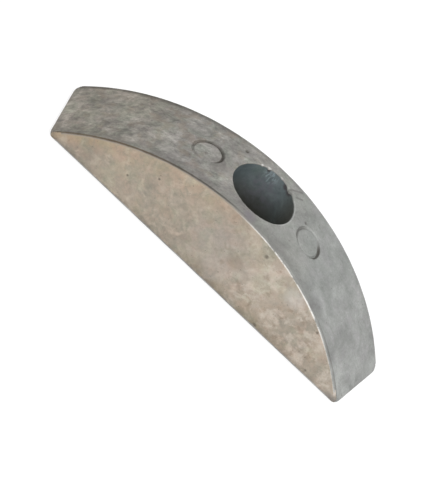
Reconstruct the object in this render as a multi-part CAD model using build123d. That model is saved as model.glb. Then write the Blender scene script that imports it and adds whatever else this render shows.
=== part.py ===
from build123d import *

import os
from math import sqrt

# Half-moon sacrificial anode: one zinc casting, held on its flat seat by a single bolt.
#
# The casting is a slice of a shallow cone. Its seat lies on the XY plane, its curved rim stands above the
# seat, and its two half-moon faces stand square to +Y. A counterbored bolt hole runs down the Z axis from
# the crown of the rim to the seat, and one ejector pin mark lies on the rim at each side of the hole.
# Origin: centre of the seat, on the bolt axis. +X runs along the seat, +Z points up through the bolt head.
# All sizes are in millimetres.

# The half-moon slice. Chord and height are the front face's, with its tips and edges still sharp.
WIDTH = 26.5
FRONT_CHORD = 102.1
FRONT_HEIGHT = 22.4
RIM_FLARE = 3.0  # growth of the rim's radius from the front face to the back face

# The bolt's way through: a deep counterbore for the head, and a clearance hole under it.
COUNTERBORE_DIAMETER = 18.8
BOLT_SEAT_HEIGHT = 8.0
BOLT_HOLE_DIAMETER = 9.0

# The ejector pin marks: a shallow disc that follows the rim, with a witness groove round its edge.
LEFT_PIN_MARK = (-17.6, -0.6)
RIGHT_PIN_MARK = (16.8, 0.2)
PIN_MARK_DIAMETER = 8.6
PIN_MARK_DEPTH = 0.3
PIN_GROOVE_WIDTH = 0.6
PIN_GROOVE_DEPTH = 0.7

# Cast edges.
TIP_RADIUS = 0.75
FRONT_EDGE_RADIUS = 0.6
BACK_EDGE_RADIUS = 1.4
MOUTH_RADIUS = 0.35
CORNER_RADIUS = 2.5  # of the tips' four corners, seen from above
CORNER_CLEARANCE = 0.05  # keeps the corner cutter off the straight part of the tips

# The rim's cone, from the front chord and height.
FRONT_RADIUS = ((FRONT_CHORD / 2) ** 2 + FRONT_HEIGHT**2) / (2 * FRONT_HEIGHT)
BACK_RADIUS = FRONT_RADIUS + RIM_FLARE
AXIS_DROP = FRONT_RADIUS - FRONT_HEIGHT  # how far the cone's axis lies under the seat
CROWN_HEIGHT = BACK_RADIUS - AXIS_DROP


def rim_cone(depth=0.0):
    """The full cone whose surface is the rim, taken in by depth. It runs from the back face forward."""
    back_plane = Plane(origin=(0, WIDTH / 2, -AXIS_DROP), x_dir=(1, 0, 0), z_dir=(0, -1, 0))
    cone = Cone(
        BACK_RADIUS - depth,
        FRONT_RADIUS - depth,
        WIDTH,
        align=(Align.CENTER, Align.CENTER, Align.MIN),
    )
    return back_plane * cone


def post(diameter, bottom=0.0):
    """A round cutter on the Z axis, from bottom to clear above the crown."""
    height = 2 * CROWN_HEIGHT - bottom
    align = (Align.CENTER, Align.CENTER, Align.MIN)
    return Pos(0, 0, bottom) * Cylinder(diameter / 2, height, align=align)


def half_length(outline):
    """How far a face's outline reaches from the bolt axis, with the clearance for the corner cutter."""
    return max(edge.bounding_box().max.X for edge in outline) + CORNER_CLEARANCE


def half_moon():
    """The slice of the cone above the seat, with its tips, corners and both faces' outlines rounded."""
    moon = split(rim_cone(), bisect_by=Plane.XY, keep=Keep.TOP)
    moon = fillet(moon.edges().filter_by(GeomType.HYPERBOLA), TIP_RADIUS)
    front = half_length(moon.edges().group_by(Axis.Y)[0])
    back = half_length(moon.edges().group_by(Axis.Y)[-1])
    moon = fillet(moon.edges().group_by(Axis.Y)[-1], BACK_EDGE_RADIUS)
    moon = fillet(moon.edges().group_by(Axis.Y)[0], FRONT_EDGE_RADIUS)
    half = WIDTH / 2
    plan = Polygon((-front, -half), (front, -half), (back, half), (-back, half), align=None)
    plan = fillet(plan.vertices(), CORNER_RADIUS)
    return moon & extrude(plan, 2 * CROWN_HEIGHT)


def bolt_way(moon):
    """Cut the clearance hole and the counterbore, and round the counterbore's mouth."""
    moon -= post(BOLT_HOLE_DIAMETER, bottom=-CROWN_HEIGHT)
    moon -= post(COUNTERBORE_DIAMETER, bottom=BOLT_SEAT_HEIGHT)
    wall = moon.faces().filter_by(GeomType.CYLINDER).sort_by(lambda f: f.radius)[-1]
    mouth = wall.edges().filter_by(lambda e: e.geom_type not in (GeomType.CIRCLE, GeomType.LINE))
    return fillet(mouth, MOUTH_RADIUS)


def pin_marked(moon):
    """Sink the disc and its groove into the rim at each side of the bolt hole."""
    for x, y in (LEFT_PIN_MARK, RIGHT_PIN_MARK):
        at_mark = Pos(x, y, 0)
        disc = at_mark * post(PIN_MARK_DIAMETER)
        groove = disc - at_mark * post(PIN_MARK_DIAMETER - 2 * PIN_GROOVE_WIDTH)
        moon -= disc - rim_cone(PIN_MARK_DEPTH)
        moon -= groove - rim_cone(PIN_GROOVE_DEPTH)
    return moon


anode_casting = pin_marked(bolt_way(half_moon()))
anode_casting.label = "anode_casting"

os.makedirs("parts", exist_ok=True)
export_step(anode_casting, "parts/anode_casting.step")
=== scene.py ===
"""Half-moon sacrificial anode, dressed as a weathered zinc casting.

The casting's mesh is worked out here from the CAD model's sizes, finely enough to carry the uneven cast
surface, the ejector pin marks, the pits and the nicks as real shape. Sizes are in millimetres up to the
moment a mesh or a node is made. The bolt's axis is Z, and the front face looks towards -Y.
"""

from math import atan2, ceil, cos, exp, hypot, log, pi, radians, sin, sqrt

import bmesh
import bpy
from mathutils import Matrix, Vector, noise
from mathutils.geometry import delaunay_2d_cdt


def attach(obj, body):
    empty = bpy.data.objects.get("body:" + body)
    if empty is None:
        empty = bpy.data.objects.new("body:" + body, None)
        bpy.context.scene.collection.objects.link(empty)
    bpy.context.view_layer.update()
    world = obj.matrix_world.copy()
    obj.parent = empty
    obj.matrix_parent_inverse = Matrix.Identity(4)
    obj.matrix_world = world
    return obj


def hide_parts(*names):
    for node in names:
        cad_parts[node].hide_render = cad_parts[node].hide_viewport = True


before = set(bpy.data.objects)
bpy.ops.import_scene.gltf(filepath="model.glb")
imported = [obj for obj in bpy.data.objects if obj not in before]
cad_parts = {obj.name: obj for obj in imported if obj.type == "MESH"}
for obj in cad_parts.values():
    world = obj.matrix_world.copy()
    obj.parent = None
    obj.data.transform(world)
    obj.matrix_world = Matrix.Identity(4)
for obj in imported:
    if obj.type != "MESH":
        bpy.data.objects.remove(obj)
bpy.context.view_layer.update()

MM = 0.001
TAU = 2 * pi

# The casting's sizes, as in the CAD model.
WIDTH = 26.5
FRONT_CHORD = 102.1
FRONT_HEIGHT = 22.4
RIM_FLARE = 3.0  # growth of the rim's radius from the front face to the back face
COUNTERBORE_RADIUS = 9.4
BOLT_SEAT_HEIGHT = 8.0
BOLT_HOLE_RADIUS = 4.5
PIN_MARKS = [(-17.6, -0.6), (16.8, 0.2)]
PIN_MARK_RADIUS = 4.3
PIN_MARK_DEPTH = 0.3
PIN_GROOVE_WIDTH = 0.6
PIN_GROOVE_DEPTH = 0.7
TIP_RADIUS = 0.75
FRONT_EDGE_RADIUS = 0.6
BACK_EDGE_RADIUS = 1.4
MOUTH_RADIUS = 0.35
CORNER_RADIUS = 2.5
FRONT_REACH = 50.11  # from the bolt's axis to a tip, at the front face
BACK_REACH = 54.19  # from the bolt's axis to a tip, at the back face

FRONT_RADIUS = ((FRONT_CHORD / 2) ** 2 + FRONT_HEIGHT**2) / (2 * FRONT_HEIGHT)
BACK_RADIUS = FRONT_RADIUS + RIM_FLARE
AXIS_DROP = FRONT_RADIUS - FRONT_HEIGHT  # how far the rim's axis lies under the seat
HALF_WIDTH = WIDTH / 2
FRONT_Y = -HALF_WIDTH
BACK_Y = HALF_WIDTH

# How finely the surface is meshed.
COARSE = 0.5
FINE = 0.17
FINE_MARGIN = 0.8  # how far the fine mesh reaches past a pin mark
MIDDLE_HALF_CHORD = FRONT_CHORD / 2 + 1.0  # about the rim's half chord where the pin marks are
EDGE_STEPS = 5
TIP_STEPS = 7
SHARPEST = 0.06  # the tightest bend left where an edge's rounding is larger than the tip's
CORNER_STEP = 0.3
CORNER_BLEND = 0.12  # how softly the corners' rounding meets the tips
CORNER_FACES_FRONT = -0.7  # a corner belongs to the front face where its normal's y is below this
SEAT_STEPS = 100
FACE_STEP = 0.55
FACE_MARGIN = 0.3  # the gap kept between a face's outline and the points within it
FACE_ROW_MARGIN = 0.35  # the same at both ends of a row of points
ONLY_INSIDE = 1  # tells the triangulation to keep what lies inside the outline
BORE_COLUMNS = 192
BORE_ROW = 0.5
HOLE_ROW = 2.0
SEAT_RING_RADIUS = 7.0  # a ring of points halfway across the bolt's seat
WALL_TOP = FRONT_HEIGHT - 1.5  # where the counterbore's plain wall ends and its mouth begins
CUTTER_RADIUS = COUNTERBORE_RADIUS + 3 * MOUTH_RADIUS  # the cutter's, where it is clear of the casting
CUTTER_BOTTOM = -2.0
CUTTER_RISE = 1.0  # how far over the rim the cutter reaches that radius
CUTTER_TOP = FRONT_HEIGHT + RIM_FLARE + 4.0
SHORTEST_EDGE = 0.01  # what the cut leaves shorter than this is merged
SHARP_ANGLE = 50  # edges that bend more than this, in degrees, are shaded as sharp
UPWARD = 0.5  # the pin marks are sunk only where a normal's z is above this

# The uneven cast surface.
SWELL_DEPTH = 0.07
SWELL_SIZE = 7.0
GRAIN_DEPTH = 0.025
GRAIN_SIZE = 1.3
GRAIN_SHIFT = Vector((31, 7, 5))  # keeps the grain from following the swells
WALL_WAVE = 0.03  # of the counterbore's wall
MOUTH_WAVE = 0.15  # of its mouth's rounding
OCTAVES = 3

# Wear that changes the shape.
WORN_CORNER_RADIUS = 3.4  # the two back corners have worn rounder than the CAD model's
WORN_EDGE = 0.16  # how softly the pin marks' edges have worn
PIN_MARK_WORN = [-80, 95]  # the side, in degrees, where each pin mark has all but worn away
PIN_MARK_WORN_REACH = 4.5  # how far from there the mark is whole again
PIN_MARK_WORN_CORE = 0.35 * PIN_MARK_WORN_REACH  # how far it stays worn
PIN_MARK_KEPT = 0.3  # the share of a pin mark's depth that is left there

# Pits in the front face: x, z, radius, depth. Then those in the rim: x, y, radius, depth.
FACE_PITS = [
    (-28.3, 7.5, 0.5, 0.2),
    (-21.8, 13.1, 0.5, 0.25),
    (11.1, 18.1, 0.8, 0.3),
    (21.1, 0.9, 0.9, 0.4),
    (33.7, 12.1, 0.6, 0.3),
    (38.5, 1.6, 0.5, 0.2),
]
RIM_PITS = [(-10.2, 8.6, 0.9, 0.35), (13.1, 4.2, 0.6, 0.25)]

# Nicks in the counterbore's mouth: azimuth in degrees, width, depth, and how much bare metal shows.
MOUTH_NICKS = [(122, 0.45, 0.25, 0.5), (109, 0.6, 0.28, 0.4), (84, 0.5, 0.12, 0.2), (62, 1.4, 0.6, 0.05)]

# Dark dents in the counterbore's wall: azimuth in degrees, radius.
WALL_DENTS = [(108, 0.7), (70, 1.3), (60, 1.5)]
WALL_DENT_DROP = 0.7  # how far under the rim they are

# Scratches on the rim beside the counterbore, from end to end, seen from above.
SCRATCHES = [((4.4, 8.5), (7.3, 11.2)), ((7.0, 8.0), (8.6, 9.3))]
SCRATCH_WIDTH = 0.45

# Faint colour casts that come and go over the whole casting; they multiply its colour.
GREEN_CAST = (0.965, 1.015, 0.975)
VIOLET_CAST = (1.015, 0.985, 1.015)
ROSE_CAST = (1.035, 0.985, 0.975)

# Broad patches of another grey on the rim: x, y, radius, colour.
PALE_GREY = (0.300, 0.290, 0.262)
DARK_GREY = (0.150, 0.146, 0.132)
RIM_PATCHES = [
    (-38.0, -5.5, 9.0, PALE_GREY),
    (-12.0, -6.5, 5.0, PALE_GREY),
    (-44.0, 3.5, 6.0, DARK_GREY),
    (-12.5, 7.0, 6.0, DARK_GREY),
    (16.0, -8.5, 9.0, DARK_GREY),
]

# Broad clouds under the front face's mottling, and marks over it: x, z, radius, strength, colour.
FACE_CLOUDS = [
    (15.0, 13.0, 9.0, 0.5, (0.42, 0.36, 0.30)),
    (1.0, 9.0, 13.0, 0.5, (0.305, 0.275, 0.250)),
]
FACE_MARKS = [
    (6.7, 10.5, 3.2, 0.4, (0.215, 0.155, 0.110)),
    (23.5, 15.0, 4.0, 0.35, (0.50, 0.49, 0.47)),
]

RIM, FACE, SEAT, BORE = range(4)


# ---------------------------------------------------------------- shape


def rim_radius(y):
    """The rim's radius about its own axis, which lies along Y under the seat."""
    return FRONT_RADIUS + RIM_FLARE * (y - FRONT_Y) / WIDTH


def rim_height(x, y):
    """The rim's height over the seat."""
    return sqrt(max(rim_radius(y) ** 2 - x * x, 0.0)) - AXIS_DROP


def around(azimuth, radius, centre=(0.0, 0.0)):
    """A place seen from above, at an azimuth in degrees and a radius from a centre."""
    return centre[0] + radius * cos(radians(azimuth)), centre[1] + radius * sin(radians(azimuth))


def smooth(low, high, value):
    """0 below low, 1 above high, and a soft rise between."""
    t = min(max((value - low) / (high - low), 0.0), 1.0)
    return t * t * (3 - 2 * t)


def steps(low, high, size):
    """Evenly spaced values from low up to but not including high, no further apart than size."""
    count = ceil((high - low) / size - 1e-6)
    return [low + (high - low) * i / count for i in range(count)]


def refined(low, high, fine_spans):
    """Values from low to high, spaced COARSE, and FINE within each of the spans."""
    values = []
    at = low
    for start, end in fine_spans:
        values += steps(at, start, COARSE) + steps(start, end, FINE)
        at = end
    return values + steps(at, high, COARSE) + [high]


def rim_shares():
    """Where the rim's points lie, as shares of its half chord, close together across both pin marks."""
    reach = PIN_MARK_RADIUS + FINE_MARGIN
    spans = [(x - reach, x + reach) for x, _ in PIN_MARKS]
    return [x / MIDDLE_HALF_CHORD for x in refined(-MIDDLE_HALF_CHORD, MIDDLE_HALF_CHORD, spans)]


def tip_reach(y):
    """How far the tips may come from the bolt's axis at y, which rounds the corners seen from above."""
    share = (y - FRONT_Y) / WIDTH
    straight = FRONT_REACH + (BACK_REACH - FRONT_REACH) * share
    radius = CORNER_RADIUS if y < 0 else WORN_CORNER_RADIUS
    into_corner = max(radius - (HALF_WIDTH - abs(y)), 0.0)
    return straight - radius + sqrt(radius**2 - into_corner**2)


def held_in(x, limit):
    """A distance from the bolt's axis, softly held short of a limit."""
    over = (abs(x) - limit) / CORNER_BLEND
    if over < -20:  # far inside, where the soft hold moves nothing
        return x
    held = abs(x) - CORNER_BLEND * log(1 + exp(over))
    return held if x > 0 else -held


def outline(y, inset, shares):
    """The casting's outline across the bolt's axis at y, drawn in by inset: rim, tip, seat, tip."""
    radius = rim_radius(y) - inset
    bend = max(TIP_RADIUS - inset, SHARPEST)
    tip_z = inset + bend
    tip_x = sqrt((radius - bend) ** 2 - (AXIS_DROP + tip_z) ** 2)
    tip_angle = atan2(tip_x, AXIS_DROP + tip_z)
    half_chord = radius * sin(tip_angle)
    points = []
    for share in shares:
        x = share * half_chord
        points.append((x, sqrt(radius**2 - x * x) - AXIS_DROP, RIM))
    bend_angles = [tip_angle + (pi - tip_angle) * k / TIP_STEPS for k in range(1, TIP_STEPS)]
    for a in bend_angles:
        points.append((tip_x + bend * sin(a), tip_z + bend * cos(a), RIM))
    for k in range(SEAT_STEPS + 1):
        points.append((tip_x * (1 - 2 * k / SEAT_STEPS), inset, SEAT))
    for a in reversed(bend_angles):
        points.append((-tip_x - bend * sin(a), tip_z + bend * cos(a), RIM))
    return [(held_in(x, tip_reach(y)), z, kind) for x, z, kind in points]


def rounded_edge(radius):
    """An edge's rounding, from its face inwards: how far from the face, and how far drawn in."""
    angles = [pi / 2 * k / EDGE_STEPS for k in range(EDGE_STEPS)]
    return [(radius * (1 - cos(a)), radius * (1 - sin(a))) for a in angles]


def stations():
    """Each station across the width: its y, and how far its outline is drawn in to round the edges."""
    reach = PIN_MARK_RADIUS + FINE_MARGIN
    pin_marks = (min(y for _, y in PIN_MARKS) - reach, max(y for _, y in PIN_MARKS) + reach)
    front_corner = (FRONT_Y + FRONT_EDGE_RADIUS, FRONT_Y + CORNER_RADIUS)
    back_corner = (BACK_Y - WORN_CORNER_RADIUS, BACK_Y - BACK_EDGE_RADIUS)
    middle = steps(*front_corner, CORNER_STEP)
    middle += refined(front_corner[1], back_corner[0], [pin_marks])[:-1]
    middle += steps(*back_corner, CORNER_STEP) + [back_corner[1]]
    front_edge = [(FRONT_Y + way, inset) for way, inset in rounded_edge(FRONT_EDGE_RADIUS)]
    back_edge = [(BACK_Y - way, inset) for way, inset in rounded_edge(BACK_EDGE_RADIUS)]
    return front_edge + [(y, 0.0) for y in middle] + back_edge[::-1]


def skin(bm):
    """Lay the rim, the tips and the seat, row by row across the width. Returns the first row and the last."""
    shares = rim_shares()
    loops = [(y, outline(y, inset, shares)) for y, inset in stations()]
    rows = [[bm.verts.new((x, y, z)) for x, z, _ in loop] for y, loop in loops]
    kinds = [kind for _, _, kind in loops[0][1]]
    count = len(kinds)
    for near, far in zip(rows, rows[1:]):
        for i in range(count):
            j = (i + 1) % count
            face = bm.faces.new((near[i], near[j], far[j], far[i]))
            face.material_index = SEAT if kinds[i] == SEAT and kinds[j] == SEAT else RIM
    return rows[0], rows[-1]


def inside(x, z, loop):
    """Whether a point lies inside a closed outline."""
    hit = False
    for (x1, z1), (x2, z2) in zip(loop, loop[1:] + loop[:1]):
        if (z1 > z) != (z2 > z) and x < (x2 - x1) * (z - z1) / (z2 - z1) + x1:
            hit = not hit
    return hit


def face_points(loop, radius):
    """Evenly spaced points within a half-moon face, each row half a step along from the one below."""
    points = []
    row_gap = FACE_STEP * sqrt(3) / 2
    z = row_gap
    row = 0
    while z < radius - AXIS_DROP:
        half = sqrt(radius**2 - (z + AXIS_DROP) ** 2) - FACE_ROW_MARGIN
        x = -half + (FACE_STEP / 2 if row % 2 else 0.0)
        while x < half:
            if radius - hypot(x, z + AXIS_DROP) > FACE_MARGIN and inside(x, z, loop):
                points.append(Vector((x, z)))
            x += FACE_STEP
        z += row_gap
        row += 1
    return points


def cap(bm, ring, y, edge_radius):
    """Fill the half-moon face at y, whose outline is a ring of points, with even triangles."""
    loop = [(v.co.x, v.co.z) for v in ring]
    points = [Vector(p) for p in loop] + face_points(loop, rim_radius(y) - edge_radius)
    edges = [(i, (i + 1) % len(loop)) for i in range(len(loop))]
    whole = [list(range(len(loop)))]
    flat, _, faces, origin, _, _ = delaunay_2d_cdt(points, edges, whole, ONLY_INSIDE, 1e-6)
    made = []
    for point, source in zip(flat, origin):
        on_ring = [i for i in source if i < len(ring)]
        made.append(ring[on_ring[0]] if on_ring else bm.verts.new((point.x, y, point.y)))
    for corners in faces:
        face = bm.faces.new([made[i] for i in (corners if y < 0 else corners[::-1])])
        face.material_index = FACE


def worn_sides():
    """The middle of each pin mark's worn side, seen from above."""
    return [around(azimuth, PIN_MARK_RADIUS, mark) for mark, azimuth in zip(PIN_MARKS, PIN_MARK_WORN)]


def pin_mark_depth(x, y):
    """How deep the ejector pin marks are sunk at a place on the rim."""
    from_mark = min(hypot(x - mark_x, y - mark_y) for mark_x, mark_y in PIN_MARKS)
    disc = 1 - smooth(PIN_MARK_RADIUS - WORN_EDGE, PIN_MARK_RADIUS + WORN_EDGE, from_mark)
    inner = PIN_MARK_RADIUS - PIN_GROOVE_WIDTH
    groove = smooth(inner - WORN_EDGE, inner + WORN_EDGE, from_mark) * disc
    from_worn = min(hypot(x - side_x, y - side_y) for side_x, side_y in worn_sides())
    unworn = smooth(PIN_MARK_WORN_CORE, PIN_MARK_WORN_REACH, from_worn)
    kept = PIN_MARK_KEPT + (1 - PIN_MARK_KEPT) * unworn
    return kept * (PIN_MARK_DEPTH * disc + (PIN_GROOVE_DEPTH - PIN_MARK_DEPTH) * groove)


def face_pits():
    """The front face's pits: place, radius, depth."""
    return [(Vector((x, FRONT_Y, z)), radius, depth) for x, z, radius, depth in FACE_PITS]


def rim_pits():
    """The rim's pits: place, radius, depth."""
    return [(Vector((x, y, rim_height(x, y))), radius, depth) for x, y, radius, depth in RIM_PITS]


def pit_depth(p):
    """How deep the pits are at a place on the surface."""
    depth = 0.0
    for place, radius, deepest in face_pits() + rim_pits():
        away = (p - place).length
        if away < radius:
            depth += deepest * (1 - smooth(0.25 * radius, radius, away))
    return depth


def cast_depth(p):
    """How far the cast surface falls short of the true one: long swells and a fine grain."""
    swell = noise.fractal(p / SWELL_SIZE, 1.0, 2.0, OCTAVES)
    grain = noise.fractal(p / GRAIN_SIZE + GRAIN_SHIFT, 0.8, 2.1, OCTAVES)
    return max(SWELL_DEPTH * (0.5 + 0.5 * swell) + GRAIN_DEPTH * (0.5 + 0.5 * grain), 0.0)


def sink(bm):
    """Sink every point to the uneven cast surface, the pits and the pin marks."""
    sunk = []
    for v in bm.verts:
        depth = cast_depth(v.co) + pit_depth(v.co)
        if v.normal.z > UPWARD:
            depth += pin_mark_depth(v.co.x, v.co.y)
        sunk.append(v.co - v.normal * depth)
    for v, place in zip(bm.verts, sunk):
        v.co = place


def casting_body():
    """The casting before its bolt hole is cut."""
    bm = bmesh.new()
    front_row, back_row = skin(bm)
    cap(bm, front_row, FRONT_Y, FRONT_EDGE_RADIUS)
    cap(bm, back_row, BACK_Y, BACK_EDGE_RADIUS)
    bmesh.ops.recalc_face_normals(bm, faces=bm.faces)
    bm.normal_update()
    for face in bm.faces:
        at_tip = abs(face.calc_center_median().x) > FRONT_REACH - CORNER_RADIUS
        if at_tip and face.normal.y < CORNER_FACES_FRONT:
            face.material_index = FACE
    sink(bm)
    return bm


def cutter_profile():
    """The bolt hole, the bolt's seat and the counterbore's wall, as radius and height from the bottom up."""
    hole = [CUTTER_BOTTOM] + steps(HOLE_ROW, BOLT_SEAT_HEIGHT, HOLE_ROW)
    wall = steps(BOLT_SEAT_HEIGHT + BORE_ROW, WALL_TOP, BORE_ROW)
    seat = [(r, BOLT_SEAT_HEIGHT) for r in (BOLT_HOLE_RADIUS, SEAT_RING_RADIUS, COUNTERBORE_RADIUS)]
    return [(BOLT_HOLE_RADIUS, z) for z in hole] + seat + [(COUNTERBORE_RADIUS, z) for z in wall]


def mouth_rounding(a):
    """How far the counterbore's mouth is rounded at an angle about the bolt's axis, with its nicks."""
    ragged = MOUTH_WAVE * noise.fractal(Vector((cos(a) * 5, sin(a) * 5, 3.0)), 0.8, 2.0, OCTAVES)
    rounding = MOUTH_RADIUS + max(ragged, -0.5 * MOUTH_RADIUS)
    for azimuth, width, depth, _ in MOUTH_NICKS:
        away = COUNTERBORE_RADIUS * abs((a - radians(azimuth) + pi) % TAU - pi)
        rounding += depth * (1 - smooth(0.2 * width, width, away))
    return rounding


def cutter_column(a, profile):
    """The cutter's points at an angle about the bolt's axis, from under the seat to over the crown."""
    ca, sa = cos(a), sin(a)
    column = []
    for r, z in profile:
        wobble = 0.0
        if r > BOLT_HOLE_RADIUS and z > BOLT_SEAT_HEIGHT:
            wobble = WALL_WAVE * noise.fractal(Vector((ca * 3, sa * 3, z / 3)), 1.0, 2.0, OCTAVES)
        column.append(((r + wobble) * ca, (r + wobble) * sa, z))
    rounding = mouth_rounding(a)
    for k in range(EDGE_STEPS + 1):
        b = pi / 2 * k / EDGE_STEPS
        r = COUNTERBORE_RADIUS + rounding * (1 - cos(b))
        z = rim_height(r * ca, r * sa) - SWELL_DEPTH / 2 - rounding * (1 - sin(b))
        column.append((r * ca, r * sa, z))
    rim = rim_height(COUNTERBORE_RADIUS * ca, COUNTERBORE_RADIUS * sa) - SWELL_DEPTH / 2
    for z in (rim + CUTTER_RISE, CUTTER_TOP):
        column.append((CUTTER_RADIUS * ca, CUTTER_RADIUS * sa, z))
    return column


def bolt_cutter():
    """What the bolt hole and its counterbore remove, flared at the mouth to round its edge."""
    bm = bmesh.new()
    profile = cutter_profile()
    columns = []
    for c in range(BORE_COLUMNS):
        columns.append([bm.verts.new(p) for p in cutter_column(TAU * c / BORE_COLUMNS, profile)])
    for left, right in zip(columns, columns[1:] + columns[:1]):
        for k in range(len(left) - 1):
            face = bm.faces.new((left[k], right[k], right[k + 1], left[k + 1]))
            face.material_index = BORE if k < len(profile) else RIM
    for end in (0, -1):
        face = bm.faces.new([column[end] for column in columns])
        face.material_index = BORE
    bmesh.ops.recalc_face_normals(bm, faces=bm.faces)
    return bm


def to_object(name, bm, materials):
    """Turn a mesh in millimetres into an object in metres."""
    bmesh.ops.scale(bm, vec=(MM, MM, MM), verts=bm.verts)
    mesh = bpy.data.meshes.new(name)
    bm.to_mesh(mesh)
    bm.free()
    for material in materials:
        mesh.materials.append(material)
    item = bpy.data.objects.new(name, mesh)
    bpy.context.collection.objects.link(item)
    return item


def cut(item, cutter):
    """Take the cutter out of the item for good, and merge the slivers that the cut leaves."""
    modifier = item.modifiers.new("cut", "BOOLEAN")
    modifier.operation = "DIFFERENCE"
    modifier.solver = "EXACT"
    modifier.material_mode = "INDEX"
    modifier.object = cutter
    result = bpy.data.meshes.new_from_object(item.evaluated_get(bpy.context.evaluated_depsgraph_get()))
    item.modifiers.remove(modifier)
    item.data = result
    bpy.data.objects.remove(cutter)
    bm = bmesh.new()
    bm.from_mesh(result)
    bmesh.ops.dissolve_degenerate(bm, dist=SHORTEST_EDGE * MM, edges=bm.edges)
    bm.to_mesh(result)
    bm.free()


# ---------------------------------------------------------------- materials


class Nodes:
    """A short way to write a material's nodes. Places and distances are given in millimetres."""

    def __init__(self, name):
        self.material = bpy.data.materials.new(name)
        self.material.use_nodes = True
        self.tree = self.material.node_tree
        self.shader = self.tree.nodes["Principled BSDF"]
        self.place = self.new("ShaderNodeTexCoord").outputs["Object"]

    def new(self, kind, **settings):
        node = self.tree.nodes.new(kind)
        for key, value in settings.items():
            setattr(node, key, value)
        return node

    def link(self, source, target):
        self.tree.links.new(source, target)

    def put(self, value, target):
        """Give an input its value: another node's output, a colour or a number."""
        if hasattr(value, "links"):
            self.link(value, target)
        elif target.type == "RGBA":
            target.default_value = (*value, 1)
        else:
            target.default_value = value

    def math(self, operation, *values):
        node = self.new("ShaderNodeMath", operation=operation)
        for index, value in enumerate(values):
            self.put(value, node.inputs[index])
        return node.outputs[0]

    def times(self, first, *others):
        """All the values multiplied."""
        for other in others:
            first = self.math("MULTIPLY", first, other)
        return first

    def larger(self, first, second):
        """The larger of two values."""
        return self.math("MAXIMUM", first, second)

    def span(self, share, low, high):
        """low where share is 0, high where it is 1."""
        return self.math("MULTIPLY_ADD", share, high - low, low)

    def vector_math(self, operation, *values):
        node = self.new("ShaderNodeVectorMath", operation=operation)
        for index, value in enumerate(values):
            self.put(value, node.inputs[index])
        return node.outputs["Value" if operation in ("DISTANCE", "LENGTH", "DOT_PRODUCT") else "Vector"]

    def axis(self, letter):
        """The place's distance along X, Y or Z."""
        node = self.new("ShaderNodeSeparateXYZ")
        self.link(self.place, node.inputs[0])
        return node.outputs[letter]

    def from_line(self, across, through=(0, 0, 0)):
        """The distance from a line: across is 1 for the two directions that count, through a place on it."""
        shift = [-c * MM for c in through]
        return self.vector_math("LENGTH", self.vector_math("MULTIPLY_ADD", self.place, across, shift))

    def away_from(self, x, y):
        """The distance from a place on the rim, seen from above."""
        return self.from_line((1, 1, 0), (x, y, 0))

    def from_rim_axis(self):
        """The distance from the rim's own axis, which lies along Y under the seat."""
        return self.from_line((1, 0, 1), (0, 0, -AXIS_DROP))

    def rise(self, value, low, high):
        """0 where a distance is low, 1 where it is high, with a soft change between."""
        return self.share(value, low * MM, high * MM, 1.0)

    def fall(self, value, low, high):
        """1 where a distance is low, 0 where it is high."""
        return self.math("SUBTRACT", 1.0, self.rise(value, low, high))

    def share(self, value, low, high, most):
        """0 below low, rising softly to most above high."""
        node = self.new("ShaderNodeMapRange", interpolation_type="SMOOTHSTEP")
        self.link(value, node.inputs["Value"])
        node.inputs["From Min"].default_value = low
        node.inputs["From Max"].default_value = high
        node.inputs["To Max"].default_value = most
        return node.outputs["Result"]

    def band(self, value, start, end, soft):
        """1 where a distance lies between start and end, with soft sides."""
        after_start = self.rise(value, start - soft, start + soft)
        return self.times(after_start, self.fall(value, end - soft, end + soft))

    def spot(self, place, radius):
        """1 at a place, falling to 0 at a radius from it."""
        away = self.vector_math("DISTANCE", self.place, [c * MM for c in place])
        return self.fall(away, 0.35 * radius, radius)

    def noise(self, size, detail=4.0, rough=0.55, stretch=(1, 1, 1), turn=0.0, seed=0.0, warp=0.0):
        """Noise between 0 and 1, its features about size across, longer where stretch is small."""
        mapping = self.new("ShaderNodeMapping", vector_type="TEXTURE")
        mapping.inputs["Scale"].default_value = [size * MM / s for s in stretch]
        mapping.inputs["Rotation"].default_value = (0, 0, radians(turn))
        self.link(self.place, mapping.inputs["Vector"])
        node = self.new("ShaderNodeTexNoise", noise_dimensions="4D")
        self.link(mapping.outputs["Vector"], node.inputs["Vector"])
        node.inputs["W"].default_value = seed
        node.inputs["Scale"].default_value = 1.0
        node.inputs["Detail"].default_value = detail
        node.inputs["Roughness"].default_value = rough
        node.inputs["Distortion"].default_value = warp
        return node.outputs["Fac"]

    def ramp(self, value, *stops):
        """A colour ramp: each stop is a place and a grey or a colour."""
        node = self.new("ShaderNodeValToRGB")
        points = node.color_ramp.elements
        while len(points) < len(stops):
            points.new(0.5)
        for point, (at, colour) in zip(points, stops):
            point.position = at
            point.color = (colour,) * 3 + (1,) if isinstance(colour, (int, float)) else (*colour, 1)
        self.link(value, node.inputs["Fac"])
        return node.outputs["Color"]

    def mix(self, share, first, second, blend="MIX"):
        """Mix two colours, each a socket or a constant."""
        node = self.new("ShaderNodeMix", data_type="RGBA", blend_type=blend)
        for index, value in ((0, share), (6, first), (7, second)):
            self.put(value, node.inputs[index])
        return node.outputs[2]

    def lay(self, colour, tint, *shares, blend="MIX"):
        """Lay a tint over a colour, as strongly as the shares multiplied."""
        return self.mix(self.times(*shares), colour, tint, blend)

    def grey(self, value, *stops):
        """A grey that multiplies a colour; unlike a ramp's, its stops may pass 1."""
        half = [(at, level / 2) for at, level in stops]
        return self.mix(1.0, self.ramp(value, *half), (2.0, 2.0, 2.0), "MULTIPLY")

    def tone(self, colour, value, *stops):
        """Darken and lighten a colour by a grey that follows value."""
        return self.mix(1.0, colour, self.grey(value, *stops), "MULTIPLY")

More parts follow.
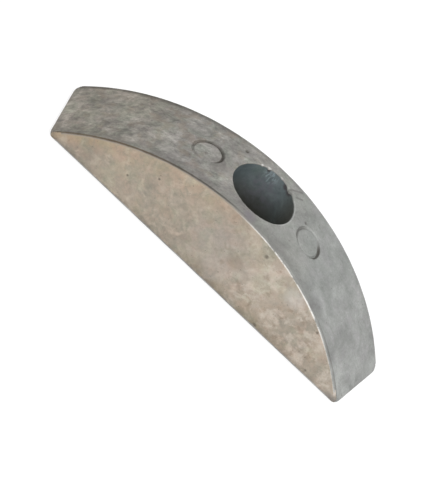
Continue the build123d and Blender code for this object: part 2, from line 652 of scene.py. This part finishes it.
    def bump(self, height, depth, before=None):
        node = self.new("ShaderNodeBump")
        node.inputs["Strength"].default_value = 1.0
        node.inputs["Distance"].default_value = depth * MM
        self.link(height, node.inputs["Height"])
        if before:
            self.link(before, node.inputs["Normal"])
        return node.outputs["Normal"]

    def finish(self, colour, roughness, normal, metallic, dirt_and_shade=None):
        """Wire up the shader; where dirt_and_shade is 1 the surface loses its metal and its sheen."""
        self.link(colour, self.shader.inputs["Base Color"])
        self.link(roughness, self.shader.inputs["Roughness"])
        self.link(normal, self.shader.inputs["Normal"])
        self.shader.inputs["Metallic"].default_value = metallic
        if dirt_and_shade:
            clean = self.math("SUBTRACT", 1.0, dirt_and_shade)
            specular = self.shader.inputs["Specular IOR Level"]
            self.link(self.times(clean, metallic), self.shader.inputs["Metallic"])
            self.link(self.times(clean, specular.default_value), specular)
        return self.material


def worn_side(n, x, y):
    """1 where a pin mark has worn away."""
    return n.fall(n.away_from(x, y), PIN_MARK_WORN_CORE, PIN_MARK_WORN_REACH)


def pin_mark_dirt_and_shade(n, mark_x, mark_y):
    """Dirt in a pin mark's groove, with painted shade that makes it heaviest on the side away from the front
    left, where the groove's wall lies in shade.
    """
    inner = PIN_MARK_RADIUS - PIN_GROOVE_WIDTH
    ring = n.band(n.away_from(mark_x, mark_y), inner + 0.05, PIN_MARK_RADIUS + 0.1, 0.16)
    # Painted shade: the groove grows darker towards this direction.
    away = (0.72, 0.69, 0)
    middle = away[0] * mark_x + away[1] * mark_y
    along = n.vector_math("DOT_PRODUCT", n.place, away)
    shaded_side = n.rise(along, middle - PIN_MARK_RADIUS, middle + 0.8 * PIN_MARK_RADIUS)
    return n.times(ring, n.span(shaded_side, 0.5, 1.0))


def pit_dirt(n, pits):
    """The dirt in the pits."""
    dirt_and_shade = 0.0
    for place, radius, _ in pits:
        dirt_and_shade = n.larger(dirt_and_shade, n.spot(place, radius))
    return dirt_and_shade


def scratch(n, start, end):
    """1 along a straight scratch on the rim, between two places seen from above."""
    start, end = Vector((*start, 0)) * MM, Vector((*end, 0)) * MM
    run = end - start
    flat = n.vector_math("MULTIPLY_ADD", n.place, (1, 1, 0), -start)
    along = n.vector_math("DOT_PRODUCT", flat, run / run.length_squared)
    share = n.math("MINIMUM", n.larger(along, 0.0), 1.0)
    nearest = n.new("ShaderNodeVectorMath", operation="SCALE")
    nearest.inputs[0].default_value = run
    n.link(share, nearest.inputs["Scale"])
    away = n.vector_math("DISTANCE", flat, nearest.outputs[0])
    return n.fall(away, 0.3 * SCRATCH_WIDTH, SCRATCH_WIDTH)


def edge_highlight(n, x):
    """How strong the painted highlight is along the edge between rim and front face: broken, in the +X half
    where the rounded edge catches the light, faint at the tip.
    """
    along = n.times(n.rise(x, -6, 10), n.span(n.fall(x, 30, 42), 0.28, 1.0))
    return n.times(along, n.share(n.noise(4.0, 5, 0.75, seed=17.0), 0.36, 0.54, 1.0))


def rim_greys(n, x, blotch):
    """The rim's own greys: warmer and more blotched at the -X end, cooler at the +X end."""
    colour = n.mix(n.rise(x, -42, -22), (0.250, 0.227, 0.192), (0.214, 0.206, 0.189))
    colour = n.lay(colour, (0.222, 0.230, 0.219), n.rise(x, -15, 25))
    colour = n.lay(colour, (0.250, 0.256, 0.245), n.rise(x, 27, 40))
    for patch_x, patch_y, radius, tint in RIM_PATCHES:
        patch = n.fall(n.away_from(patch_x, patch_y), 0.2 * radius, radius)
        colour = n.lay(colour, tint, patch, 0.4)
    left_tone = n.grey(blotch, (0.36, 0.62), (0.46, 0.92), (0.54, 1.06), (0.64, 1.35))
    right_tone = n.grey(blotch, (0.36, 0.78), (0.46, 0.95), (0.54, 1.04), (0.64, 1.22))
    return n.mix(1.0, colour, n.mix(n.rise(x, -25, 20), left_tone, right_tone), "MULTIPLY")


def rim_streaks(n, x, colour):
    """Casting streaks and small dents over the rim, strongest at the -X end."""
    across = n.noise(1.6, 5, 0.55, stretch=(0.25, 1, 1), turn=62, seed=3.0, warp=0.5)
    along = n.noise(2.6, 6, 0.60, stretch=(0.4, 1, 1), turn=10, seed=33.0, warp=0.8)
    for streak, strongest in ((across, 0.5), (along, 0.9)):
        streaked = n.tone(colour, streak, (0.36, 0.64), (0.47, 0.96), (0.56, 1.06), (0.66, 1.24))
        colour = n.lay(colour, streaked, n.span(n.fall(x, -25, 15), 0.25, 1.0), strongest)
    colour = n.tone(colour, n.noise(0.5, 4, 0.6, seed=12.0), (0.35, 0.90), (0.65, 1.10))
    dents = n.noise(1.1, 5, 0.7, stretch=(0.6, 1, 1), turn=20, seed=53.0)
    dented = n.tone(colour, dents, (0.38, 0.80), (0.50, 1.0), (0.62, 1.17))
    return n.lay(colour, dented, n.fall(x, -18, 14))


def rim_stains(n, x, y, colour):
    """Brown stretches, painted shade towards the front edge, faint colour casts, flecks and the stain beside
    the counterbore.
    """
    brown = n.share(n.noise(3.5, 5, 0.6, seed=14.0), 0.50, 0.62, 0.4)
    colour = n.lay(colour, (0.185, 0.145, 0.105), brown, n.fall(x, -25, 15))
    # Painted shade on the rim's front side, fading out towards the +X tip.
    front_shade = n.fall(y, FRONT_Y + 0.75, FRONT_Y + 5.75)
    colour = n.lay(colour, (0.090, 0.085, 0.078), front_shade, n.fall(x, 20, 44), 0.35)
    green = n.share(n.noise(4.5, 5, 0.6, seed=41.0), 0.47, 0.60, 1.0)
    colour = n.lay(colour, GREEN_CAST, green, n.fall(x, -10, 30), blend="MULTIPLY")
    violet = n.share(n.noise(3.8, 5, 0.6, seed=43.0), 0.48, 0.62, 0.8)
    colour = n.lay(colour, VIOLET_CAST, violet, blend="MULTIPLY")
    fleck = n.share(n.noise(1.0, 4, 0.7, stretch=(0.6, 1, 1), turn=15, seed=45.0), 0.58, 0.68, 0.35)
    colour = n.lay(colour, (0.095, 0.085, 0.070), fleck, n.fall(x, -20, 10))
    left_disc = n.fall(n.away_from(*PIN_MARKS[0]), 0.5, 2.8)
    pale_fleck = n.share(n.noise(0.6, 3, 0.6, seed=47.0), 0.50, 0.60, 0.45)
    colour = n.lay(colour, (0.37, 0.37, 0.34), left_disc, pale_fleck)
    speck = n.share(n.noise(0.8, 3, 0.5, seed=8.0), 0.64, 0.71, 0.5)
    colour = n.lay(colour, (0.08, 0.072, 0.06), speck)
    beside_left_mark = n.fall(n.away_from(-12.2, -2.8), 1.0, 4.5)
    colour = n.lay(colour, (0.175, 0.158, 0.148), beside_left_mark, 0.35)
    return n.lay(colour, (0.148, 0.134, 0.148), n.spot((1.0, -11.6, 22.6), 2.4), 0.6)


def rim_marks(n, x, colour):
    """The scratches, the bare metal in the mouth's nicks and the mouth's lit side."""
    for start, end in SCRATCHES:
        colour = n.lay(colour, (0.07, 0.068, 0.062), scratch(n, start, end), 0.5)
    mouth = n.band(n.away_from(0, 0), COUNTERBORE_RADIUS, COUNTERBORE_RADIUS + 0.4, 0.12)
    for azimuth, width, _, bare in MOUTH_NICKS:
        place = around(azimuth, COUNTERBORE_RADIUS)
        nick = n.spot((*place, rim_height(*place)), 1.3 * width)
        colour = n.lay(colour, (0.62, 0.62, 0.60), mouth, nick, bare)
    return n.lay(colour, (0.36, 0.37, 0.36), mouth, n.rise(x, 5, 9), 0.5)


def rim_dirt_and_shade(n, x, y):
    """The rim's darkening: dirt in its pits, dirt and painted shade in its pin marks' grooves, a dark line of
    dirt and painted shade along the front edge, and a darker band along the back edge.
    """
    dirt_and_shade = n.times(pit_dirt(n, rim_pits()), 0.8)
    for mark, side in zip(PIN_MARKS, worn_sides()):
        left = n.span(worn_side(n, *side), 0.75, 0.05)
        dirt_and_shade = n.larger(dirt_and_shade, n.times(pin_mark_dirt_and_shade(n, *mark), left))
    # Painted shade, with dirt: a dark line along the rounded front edge, over the -X half and near the +X
    # tip.
    front_edge_dirt_and_shade = n.math("ADD", n.times(n.fall(x, -9, 5), 0.80), n.times(n.rise(x, 22, 40), 0.42))
    front_edge_dirt_and_shade = n.times(front_edge_dirt_and_shade, n.span(n.fall(x, -48, -36), 1.0, 0.8))
    dirt_and_shade = n.larger(dirt_and_shade, n.times(n.band(y, FRONT_Y + 0.2, FRONT_Y + 0.63, 0.18), front_edge_dirt_and_shade))
    # Darker along the back edge, most towards -X.
    back_edge = n.rise(y, BACK_Y - 2.95, BACK_Y - 1.25)
    return n.larger(dirt_and_shade, n.times(back_edge, n.span(n.fall(x, -48, 12), 0.04, 0.79)))


def rim_zinc():
    """The rim: grey zinc, browner and more streaked at the -X end, cooler and smoother at the +X end."""
    n = Nodes("rim_zinc")
    x, y = n.axis("X"), n.axis("Y")
    blotch = n.noise(7.0, 7, 0.66, warp=0.7)
    colour = rim_streaks(n, x, rim_greys(n, x, blotch))
    colour = rim_marks(n, x, rim_stains(n, x, y, colour))
    # Dirt, with painted shade in the pin marks' grooves and along the front edge; browner along the front
    # edge's -X half.
    dirt_and_shade = rim_dirt_and_shade(n, x, y)
    front_left = n.times(n.fall(x, -34, -12), n.fall(y, -8, 0))
    dirt_and_shade_colour = n.mix(front_left, (0.050, 0.044, 0.036), (0.080, 0.052, 0.028))
    colour = n.lay(colour, dirt_and_shade_colour, dirt_and_shade)
    beige_edge = n.fall(y, FRONT_Y + 0.05, FRONT_Y + 0.2)
    colour = n.lay(colour, (0.300, 0.250, 0.190), beige_edge, n.fall(x, -9, 5))
    # Painted highlight: a pale band along the front edge, where the rim meets the face.
    highlight_band = n.fall(y, FRONT_Y + 0.03, FRONT_Y + 0.13)
    colour = n.lay(colour, (0.72, 0.71, 0.68), highlight_band, edge_highlight(n, x))
    roughness = n.ramp(blotch, (0.3, 0.66), (0.7, 0.50))
    grain = n.bump(n.noise(0.5, 4, 0.6, seed=5.0), 0.04)
    normal = n.bump(n.noise(2.2, 4, 0.6, seed=6.0), 0.10, grain)
    return n.finish(colour, roughness, normal, 0.25, dirt_and_shade)


def front_spots(n, colour, spots):
    """Lay round spots of colour on the front face."""
    for x, z, radius, strength, tint in spots:
        colour = n.lay(colour, tint, n.spot((x, FRONT_Y, z), radius), strength)
    return colour


def face_bloom(n, x, from_axis, cloud):
    """The faces' oxide bloom: beige, tan under the rim's edge at the left, ochre at the -X tip."""
    colour = n.ramp(
        cloud,
        (0.36, (0.235, 0.215, 0.175)),
        (0.46, (0.300, 0.262, 0.212)),
        (0.54, (0.335, 0.283, 0.226)),
        (0.64, (0.390, 0.335, 0.272)),
    )
    under_rim = n.rise(from_axis, FRONT_RADIUS - 8, FRONT_RADIUS - 1)
    tan = n.times(under_rim, n.fall(x, -12, 12), n.rise(x, -46, -34))
    colour = n.lay(colour, (0.385, 0.285, 0.200), tan, 0.5)
    colour = n.lay(colour, (0.235, 0.200, 0.162), n.fall(x, -44, -32), 0.6)
    ochre = n.rise(from_axis, FRONT_RADIUS - 4, FRONT_RADIUS - 0.8)
    colour = n.lay(colour, (0.385, 0.280, 0.165), ochre, n.fall(x, -42, -30), 0.45)
    return front_spots(n, colour, FACE_CLOUDS)


def face_mottling(n, x, colour):
    """Cream and brown mottling towards +X, grey-green and pale towards -X, and faint colour casts."""
    cream = n.share(n.noise(3.6, 6, 0.66, seed=2.0, warp=0.6), 0.44, 0.62, 0.75)
    colour = n.lay(colour, (0.46, 0.405, 0.345), cream, n.rise(x, -5, 16))
    brown = n.share(n.noise(2.8, 6, 0.66, seed=4.0, warp=0.4), 0.52, 0.66, 0.48)
    colour = n.lay(colour, (0.19, 0.140, 0.095), brown, n.rise(x, -30, 25))
    moss = n.share(n.noise(4.0, 6, 0.62, seed=6.0, warp=0.8), 0.48, 0.62, 0.55)
    colour = n.lay(colour, (0.225, 0.208, 0.165), moss, n.fall(x, -15, 15))
    pale = n.share(n.noise(3.2, 6, 0.62, seed=21.0, warp=0.8), 0.50, 0.64, 0.45)
    colour = n.lay(colour, (0.43, 0.37, 0.30), pale, n.fall(x, -10, 15))
    green = n.share(n.noise(5.0, 5, 0.6, seed=41.0), 0.47, 0.60, 0.9)
    colour = n.lay(colour, GREEN_CAST, green, blend="MULTIPLY")
    rose = n.share(n.noise(4.2, 5, 0.6, seed=43.0), 0.47, 0.60, 0.9)
    colour = n.lay(colour, ROSE_CAST, rose, blend="MULTIPLY")
    return n.tone(colour, n.noise(0.8, 4, 0.6, seed=12.0), (0.35, 0.92), (0.65, 1.08))


def face_stains(n, x, z, colour):
    """Marks, brown low in the middle, specks, and grime at the +X tip, along the seat and in the pits."""
    colour = front_spots(n, colour, FACE_MARKS)
    colour = n.lay(colour, (0.130, 0.122, 0.120), n.rise(x, 44.5, 48.0), n.fall(z, 0.6, 2.6), 0.7)
    low = n.times(n.fall(z, 1.0, 5.0), n.band(x, -4, 30, 8))
    brown = n.share(n.noise(3.0, 5, 0.6, seed=31.0), 0.36, 0.60, 0.5)
    colour = n.lay(colour, (0.200, 0.165, 0.105), low, brown)
    speck = n.share(n.noise(0.7, 3, 0.5, seed=9.0), 0.65, 0.71, 0.5)
    colour = n.lay(colour, (0.11, 0.09, 0.065), speck)
    grime = n.share(n.noise(1.8, 5, 0.6, seed=15.0), 0.4, 0.55, 0.6)
    colour = n.lay(colour, (0.14, 0.12, 0.10), n.fall(z, 0.3, 2.2), grime)
    return n.lay(colour, (0.10, 0.085, 0.065), pit_dirt(n, face_pits()), 0.75)


def face_edges(n, x, y, z, from_axis, colour):
    """The back face's border, rubbed to a ragged grey, and the front face's share of the painted highlight
    along the front edge.
    """
    ragged = n.noise(2.2, 5, 0.65, seed=51.0)
    outward = n.math("MULTIPLY_ADD", ragged, 3.0 * MM, from_axis)
    upward = n.math("MULTIPLY_ADD", ragged, -2.0 * MM, z)
    rubbed = n.larger(n.rise(outward, BACK_RADIUS - 1.8, BACK_RADIUS + 0.3), n.fall(upward, 0.2, 1.4))
    at_back = n.rise(y, BACK_Y - 5.25, BACK_Y - 1.25)
    colour = n.lay(colour, (0.215, 0.207, 0.190), rubbed, at_back)
    # Painted highlight: a pale band at the front face's border with the rim, in the +X half.
    at_front = n.fall(y, FRONT_Y + 0.25, FRONT_Y + 0.75)
    face_highlight_band = n.rise(from_axis, FRONT_RADIUS - 0.85, FRONT_RADIUS - 0.6)
    return n.lay(colour, (0.82, 0.80, 0.76), at_front, face_highlight_band, n.fall(x, 47.5, 49.5), edge_highlight(n, x))


def face_patina():
    """The half-moon faces: a warm beige oxide bloom with grey-green and brown mottling."""
    n = Nodes("face_patina")
    x, y, z = n.axis("X"), n.axis("Y"), n.axis("Z")
    from_axis = n.from_rim_axis()
    cloud = n.noise(10.0, 8, 0.68, warp=0.9)
    colour = face_mottling(n, x, face_bloom(n, x, from_axis, cloud))
    colour = face_edges(n, x, y, z, from_axis, face_stains(n, x, z, colour))
    roughness = n.ramp(cloud, (0.3, 0.72), (0.7, 0.85))
    grain = n.bump(n.noise(0.6, 5, 0.6, seed=5.0), 0.06)
    normal = n.bump(n.noise(2.8, 5, 0.6, seed=7.0), 0.14, grain)
    return n.finish(colour, roughness, normal, 0.1)


def seat_zinc():
    """The seat: bare grey zinc, a little cleaner than the rest."""
    n = Nodes("seat_zinc")
    cloud = n.noise(6.0, 6, 0.6, warp=0.5)
    colour = n.ramp(
        cloud,
        (0.30, (0.210, 0.200, 0.185)),
        (0.55, (0.300, 0.295, 0.280)),
        (0.75, (0.380, 0.370, 0.350)),
    )
    scuff_and_highlight = n.noise(0.5, 4, 0.6, stretch=(0.08, 1, 1), seed=3.0)
    colour = n.tone(colour, scuff_and_highlight, (0.3, 0.85), (0.7, 1.15))
    roughness = n.ramp(cloud, (0.3, 0.6), (0.7, 0.45))
    normal = n.bump(n.noise(0.8, 4, 0.6, seed=5.0), 0.05)
    return n.finish(colour, roughness, normal, 0.4)


def bore_zinc():
    """The bolt hole: cool blue-grey near its mouth, with painted shade on its -X side and going olive black
    further down and towards +X, and painted highlight streaks high on its back wall.
    """
    n = Nodes("bore_zinc")
    x, z = n.axis("X"), n.axis("Z")
    cloud = n.noise(3.0, 6, 0.65, warp=0.5)
    colour = n.ramp(
        cloud,
        (0.35, (0.090, 0.110, 0.114)),
        (0.50, (0.120, 0.148, 0.153)),
        (0.65, (0.155, 0.185, 0.192)),
    )
    # Painted shade on the wall's -X side.
    colour = n.lay(colour, (0.052, 0.070, 0.074), n.fall(x, -9.0, -4.0), 0.6)
    colour = n.lay(colour, (0.082, 0.112, 0.100), n.spot((-4.5, 8.2, 22.5), 3.0), 0.5)
    # Painted highlight: pale teal streaks high on the back wall.
    scuff_and_highlight = n.share(n.noise(0.6, 3, 0.5, stretch=(1, 1, 0.3), seed=3.0), 0.46, 0.60, 0.6)
    colour = n.lay(colour, (0.29, 0.35, 0.37), scuff_and_highlight, n.spot((-1.4, COUNTERBORE_RADIUS, 23.0), 3.0))
    # Painted shade: olive black further down the hole and towards +X.
    deep_shade = n.larger(n.fall(z, 11, 21), n.rise(x, 3, 10))
    colour = n.lay(colour, (0.068, 0.062, 0.046), deep_shade, 0.82)
    violet = n.share(n.noise(1.8, 5, 0.6, seed=9.0), 0.40, 0.60, 0.6)
    colour = n.lay(colour, (0.140, 0.138, 0.160), n.spot((-0.9, COUNTERBORE_RADIUS, 18.0), 7.0), violet)
    for azimuth, radius in WALL_DENTS:
        place = around(azimuth, COUNTERBORE_RADIUS)
        dent = n.spot((*place, rim_height(*place) - WALL_DENT_DROP), radius)
        colour = n.lay(colour, (0.045, 0.030, 0.032), dent, 0.75)
    roughness = n.ramp(cloud, (0.3, 0.7), (0.7, 0.55))
    normal = n.bump(n.noise(0.7, 4, 0.6, seed=5.0), 0.04)
    return n.finish(colour, roughness, normal, 0.2)


# ---------------------------------------------------------------- stage

# The floor and the light around it. Sizes and distances on the stage are in metres.
FLOOR_SIZE = 6.0
FLOOR_WHITE = 0.8
FLOOR_LIGHT = 0.85  # how brightly the lamps light the open floor
SHADOW_SHARE = 0.3  # how much of the floor's white comes from the lamps, so how dark a shadow shows on it
WORLD_LIGHT = 0.45

# The lamps: name, the direction each one shines from, size, power in watts.
LAMP_DISTANCE = 0.9
LAMPS = [
    ("key", (0.25, 0.15, 0.95), 0.5, 3.2),
    ("front", (-0.1, -0.85, 0.5), 0.6, 4.0),
    ("right", (0.65, -0.42, 0.62), 0.5, 3.0),
]

# The camera, from the photograph's own perspective. Its place is in millimetres.
CAMERA_PLACE = Vector((-24.816, -592.457, 365.383))
CAMERA_HEADING = 2.608
CAMERA_DIP = 31.485
CAMERA_ROLL = 44.781
CAMERA_LENS = 194.4


def white_rays(tree):
    """1 for the rays that see the surround as plain white: the camera's, and those it sends on."""
    path = tree.nodes.new("ShaderNodeLightPath")
    total = path.outputs["Is Camera Ray"]
    for kind in ("Is Glossy Ray", "Is Transmission Ray"):
        either = tree.nodes.new("ShaderNodeMath")
        either.operation = "MAXIMUM"
        tree.links.new(total, either.inputs[0])
        tree.links.new(path.outputs[kind], either.inputs[1])
        total = either.outputs[0]
    return total


def floor_material():
    """A pale floor that shows white to the camera and still takes the object's shadow."""
    material = bpy.data.materials.new("floor_white")
    material.use_nodes = True
    tree = material.node_tree
    tree.nodes.clear()
    seen = white_rays(tree)
    lit = tree.nodes.new("ShaderNodeBsdfDiffuse")
    lit.inputs["Color"].default_value = (FLOOR_WHITE,) * 3 + (1,)
    shadowed = tree.nodes.new("ShaderNodeBsdfDiffuse")
    shadowed.inputs["Color"].default_value = (SHADOW_SHARE,) * 3 + (1,)
    glow = tree.nodes.new("ShaderNodeEmission")
    glow.inputs["Strength"].default_value = 1.0 - SHADOW_SHARE * FLOOR_LIGHT
    both = tree.nodes.new("ShaderNodeAddShader")
    tree.links.new(shadowed.outputs[0], both.inputs[0])
    tree.links.new(glow.outputs[0], both.inputs[1])
    pick = tree.nodes.new("ShaderNodeMixShader")
    tree.links.new(seen, pick.inputs[0])
    tree.links.new(lit.outputs[0], pick.inputs[1])
    tree.links.new(both.outputs[0], pick.inputs[2])
    output = tree.nodes.new("ShaderNodeOutputMaterial")
    tree.links.new(pick.outputs[0], output.inputs["Surface"])
    return material


def floor():
    """A large plain floor at the height of the seat."""
    mesh = bpy.data.meshes.new("floor")
    half = FLOOR_SIZE / 2
    corners = [(-half, -half, 0), (half, -half, 0), (half, half, 0), (-half, half, 0)]
    mesh.from_pydata(corners, [], [(0, 1, 2, 3)])
    mesh.materials.append(floor_material())
    item = bpy.data.objects.new("floor", mesh)
    bpy.context.collection.objects.link(item)
    return item


def world_light():
    """An even grey surround for the light, seen as white by the camera and in reflections."""
    world = bpy.data.worlds.new("studio")
    world.use_nodes = True
    tree = world.node_tree
    background = tree.nodes["Background"]
    strength = tree.nodes.new("ShaderNodeMapRange")
    tree.links.new(white_rays(tree), strength.inputs["Value"])
    strength.inputs["To Min"].default_value = WORLD_LIGHT
    strength.inputs["To Max"].default_value = 1.0
    background.inputs["Color"].default_value = (1, 1, 1, 1)
    tree.links.new(strength.outputs["Result"], background.inputs["Strength"])
    bpy.context.scene.world = world


def area_light(name, direction, size, power):
    """A square lamp that looks at the object from a direction."""
    lamp = bpy.data.lights.new(name, "AREA")
    lamp.shape = "SQUARE"
    lamp.size = size
    lamp.energy = power
    item = bpy.data.objects.new(name, lamp)
    item.location = Vector(direction).normalized() * LAMP_DISTANCE
    item.rotation_euler = item.location.to_track_quat("Z", "Y").to_euler()
    bpy.context.collection.objects.link(item)


def camera():
    """A long lens that looks down at the front face, turned so that the casting lies across the picture."""
    heading, dip = radians(CAMERA_HEADING), radians(CAMERA_DIP)
    ahead = Vector((sin(heading) * cos(dip), cos(heading) * cos(dip), -sin(dip)))
    level = Vector((cos(heading), -sin(heading), 0))
    up = level.cross(ahead)
    roll = Matrix.Rotation(-radians(CAMERA_ROLL), 3, ahead)
    turn = Matrix((roll @ level, roll @ up, -ahead)).transposed().to_4x4()
    data = bpy.data.cameras.new("camera")
    data.lens = CAMERA_LENS
    item = bpy.data.objects.new("camera", data)
    item.matrix_world = Matrix.Translation(CAMERA_PLACE * MM) @ turn
    bpy.context.collection.objects.link(item)
    bpy.context.scene.camera = item


# ---------------------------------------------------------------- build

materials = [rim_zinc(), face_patina(), seat_zinc(), bore_zinc()]
anode = to_object("anode", casting_body(), materials)
cut(anode, to_object("bolt_cutter", bolt_cutter(), materials))
for polygon in anode.data.polygons:
    polygon.use_smooth = True
anode.data.set_sharp_from_angle(angle=radians(SHARP_ANGLE))
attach(anode, "root")
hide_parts("anode_casting")

floor()
world_light()
for lamp_settings in LAMPS:
    area_light(*lamp_settings)
camera()
bpy.context.scene.view_settings.view_transform = "Standard"
